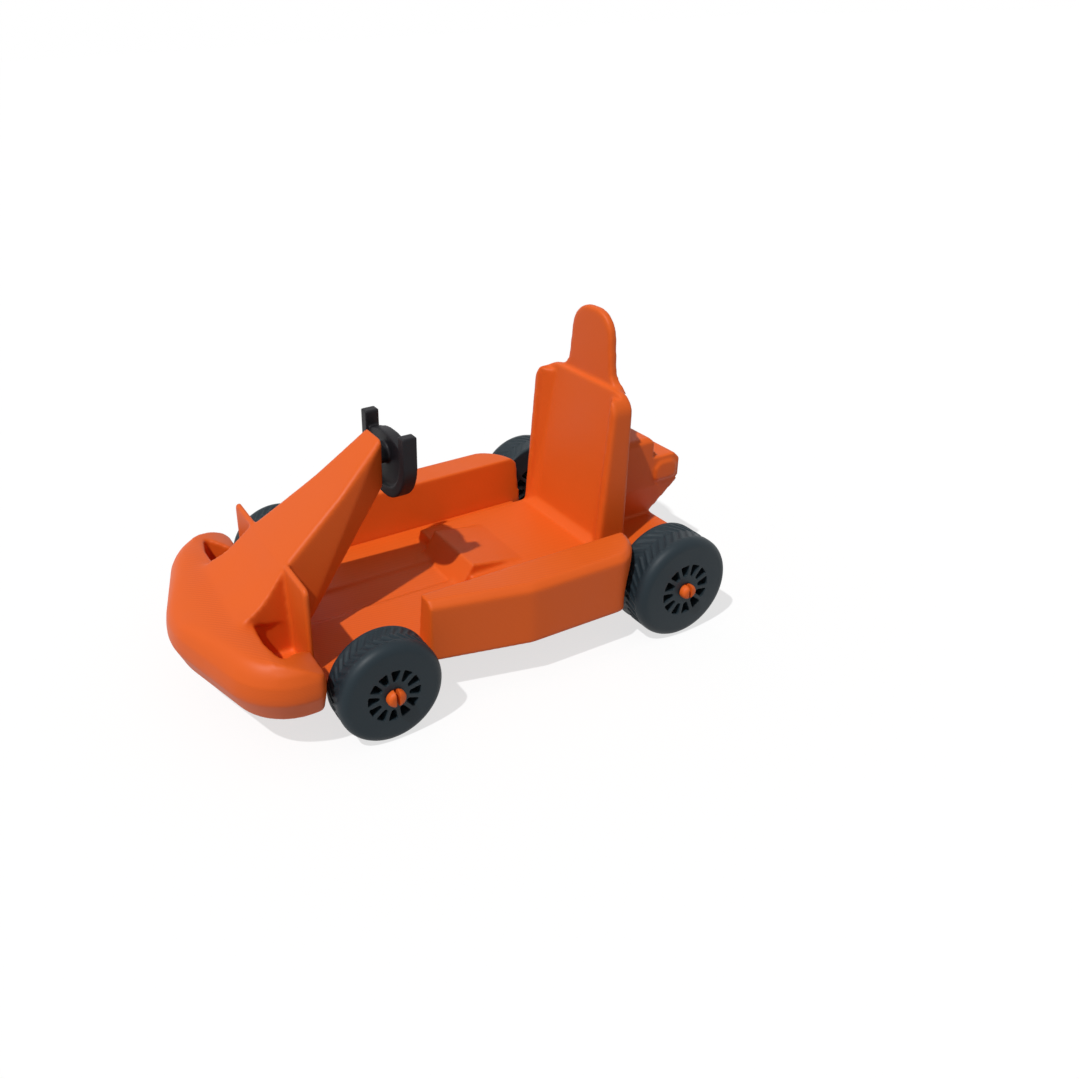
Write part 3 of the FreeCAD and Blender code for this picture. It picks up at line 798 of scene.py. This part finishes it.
class KartYoke(bpy.types.Operator):
    """Dress the steering yoke in black printed plastic"""
    bl_idname = "kart.yoke"
    bl_label = "Steering yoke"

    def execute(self, context):
        colours = context.scene.kart_colours
        material = printed_plastic("PLA, printed in layers, black", colours.yoke, colours.yoke_deep,
                                   YOKE_FINISH)
        name = "printed_" + YOKE
        skin = one_skin(joined([node_copy(YOKE), yoke_hub()]), context.scene.kart_sizes.yoke_skin,
                        SKIN_ROUNDS[name])
        new_piece(name, skin, material, YOKE, [YOKE])
        return {"FINISHED"}


class KartWheels(bpy.types.Operator):
    """Model the four wheels: rounded tyre with chevron lugs, slotted disc and bore"""
    bl_idname = "kart.wheels"
    bl_label = "Wheels"

    def execute(self, context):
        sizes = context.scene.kart_sizes
        colours = context.scene.kart_colours
        material = printed_plastic("PLA, printed in layers, slate grey", colours.wheel, colours.wheel_deep,
                                   WHEEL_FINISH)
        for word in WHEELS:
            node = "wheel_" + word
            end = word.split("_")[0]
            bm = cut_away(wheel_blank(sizes, node), slot_cutter(sizes, node, SLOT_TURN[end]))
            add_lugs(bm, sizes, node, CHEVRON[end])
            smooth_by_angle(bm, TREAD_EDGE)
            new_piece("treaded_" + node, bm, material, node, [node])
        return {"FINISHED"}


class KartPins(bpy.types.Operator):
    """Model the four snap pins with their domed, split heads"""
    bl_idname = "kart.pins"
    bl_label = "Snap pins"

    def execute(self, context):
        material = hull_plastic()
        for word in WHEELS:
            node = "axle_pin_" + word
            bm = snap_pin(context.scene.kart_sizes, word)
            smooth_by_angle(bm, PIN_EDGE)
            new_piece("split_" + node, bm, material, "hull", [node])
        return {"FINISHED"}


class KartStudio(bpy.types.Operator):
    """Set up the camera, a plain white floor and the studio's light"""
    bl_idname = "kart.studio"
    bl_label = "Studio"

    def execute(self, context):
        scene = context.scene
        scene.view_settings.view_transform = "Standard"
        self.camera(scene)
        self.light(scene)
        self.floor(scene)
        return {"FINISHED"}

    def camera(self, scene):
        """The camera at the photograph's viewing angle."""
        forward = Vector((-math.sin(CAMERA_YAW) * math.cos(CAMERA_PITCH),
                          math.cos(CAMERA_YAW) * math.cos(CAMERA_PITCH), -math.sin(CAMERA_PITCH)))
        right = forward.cross(Vector((0, 0, 1))).normalized()
        up = right.cross(forward)
        c, s = math.cos(CAMERA_ROLL), math.sin(CAMERA_ROLL)
        right, up = c * right + s * up, -s * right + c * up
        turn = Matrix((right, up, -forward)).transposed().to_4x4()
        place = Matrix.Translation((CAMERA_X, FRONT_AXLE.y - CAMERA_AHEAD, CAMERA_Z))
        data = bpy.data.cameras.new("camera")
        data.sensor_width = SENSOR_MM
        data.lens = FOCAL_PX * SENSOR_MM / IMAGE_SIZE
        data.shift_x = (IMAGE_SIZE / 2 - CENTRE_PX[0]) / IMAGE_SIZE
        data.shift_y = (CENTRE_PX[1] - IMAGE_SIZE / 2) / IMAGE_SIZE
        data.clip_start = 0.01
        data.clip_end = 20.0
        camera = bpy.data.objects.new("camera", data)
        camera.matrix_world = place @ turn
        scene.collection.objects.link(camera)
        scene.camera = camera

    def light(self, scene):
        """One sun from the front and above, and an even white room."""
        data = bpy.data.lights.new("main_light", "SUN")
        data.energy = SUN_STRENGTH
        data.angle = SUN_ANGLE
        lamp = bpy.data.objects.new("main_light", data)
        lamp.rotation_euler = LIGHT_FROM.to_track_quat("Z", "Y").to_euler()
        scene.collection.objects.link(lamp)
        world = bpy.data.worlds.new("room")
        tree = empty_tree(world)
        soft = add_node(tree, "ShaderNodeBackground", {"Color": (1, 1, 1, 1), "Strength": ROOM_LIGHT})
        bright = add_node(tree, "ShaderNodeBackground", {"Color": (1, 1, 1, 1), "Strength": 1.0})
        both = add_node(tree, "ShaderNodeMixShader", {0: seen_rays(tree), 1: soft.outputs["Background"],
                                                      2: bright.outputs["Background"]})
        add_node(tree, "ShaderNodeOutputWorld", {"Surface": both.outputs["Shader"]})
        scene.world = world

    def floor(self, scene):
        """A wide sheet of plain white card under the wheels."""
        bm = bmesh.new()
        bmesh.ops.create_grid(bm, x_segments=1, y_segments=1, size=FLOOR_SIZE)
        floor = as_object(bm, "floor")
        material = bpy.data.materials.new("Card, coated, white")
        tree = empty_tree(material)
        place = add_node(tree, "ShaderNodeTexCoord").outputs["Object"]
        fibres = add_node(tree, "ShaderNodeTexNoise", {"Vector": place, "Scale": 900.0, "Detail": 2.0})
        bump = add_node(tree, "ShaderNodeBump", {"Strength": 0.02, "Distance": 0.1 * MM,
                                                 "Height": fibres.outputs["Fac"]})
        card = add_node(tree, "ShaderNodeBsdfPrincipled",
                        {"Base Color": linear(scene.kart_colours.card), "Roughness": 0.9,
                         "Specular IOR Level": 0.1, "Normal": bump.outputs["Normal"]})
        shadowed = add_node(tree, "ShaderNodeBsdfDiffuse", {"Color": linear(scene.kart_colours.floor)})
        glow = add_node(tree, "ShaderNodeEmission",
                        {"Color": linear(scene.kart_colours.floor), "Strength": 1.0})
        pale = add_node(tree, "ShaderNodeMixShader", {0: FLOOR_SHADOW, 1: glow.outputs["Emission"],
                                                      2: shadowed.outputs["BSDF"]})
        both = add_node(tree, "ShaderNodeMixShader", {0: seen_rays(tree), 1: card.outputs["BSDF"],
                                                      2: pale.outputs["Shader"]})
        add_node(tree, "ShaderNodeOutputMaterial", {"Surface": both.outputs["Shader"]})
        floor.data.materials.append(material)


class KartPanel(bpy.types.Panel):
    """Lists the kart's sizes, colours and steps"""
    bl_idname = "KART_PT_panel"
    bl_label = "Toy kart"
    bl_space_type = "VIEW_3D"
    bl_region_type = "UI"
    bl_category = "Toy kart"

    def draw(self, context):
        for group in (context.scene.kart_sizes, context.scene.kart_colours):
            for name in group.__annotations__:
                self.layout.prop(group, name)
        for step in STEPS:
            self.layout.operator(step.bl_idname)


GROUPS = (KartSizes, KartColours)
STEPS = (KartHull, KartYoke, KartWheels, KartPins, KartStudio)


def register():
    for cls in GROUPS + STEPS + (KartPanel,):
        bpy.utils.register_class(cls)
    bpy.types.Scene.kart_sizes = PointerProperty(type=KartSizes)
    bpy.types.Scene.kart_colours = PointerProperty(type=KartColours)


def unregister():
    del bpy.types.Scene.kart_colours
    del bpy.types.Scene.kart_sizes
    for cls in reversed(GROUPS + STEPS + (KartPanel,)):
        bpy.utils.unregister_class(cls)


def main():
    register()
    bpy.ops.kart.hull()
    bpy.ops.kart.yoke()
    bpy.ops.kart.wheels()
    bpy.ops.kart.pins()
    bpy.ops.kart.studio()


if __name__ == "__main__":
    main()
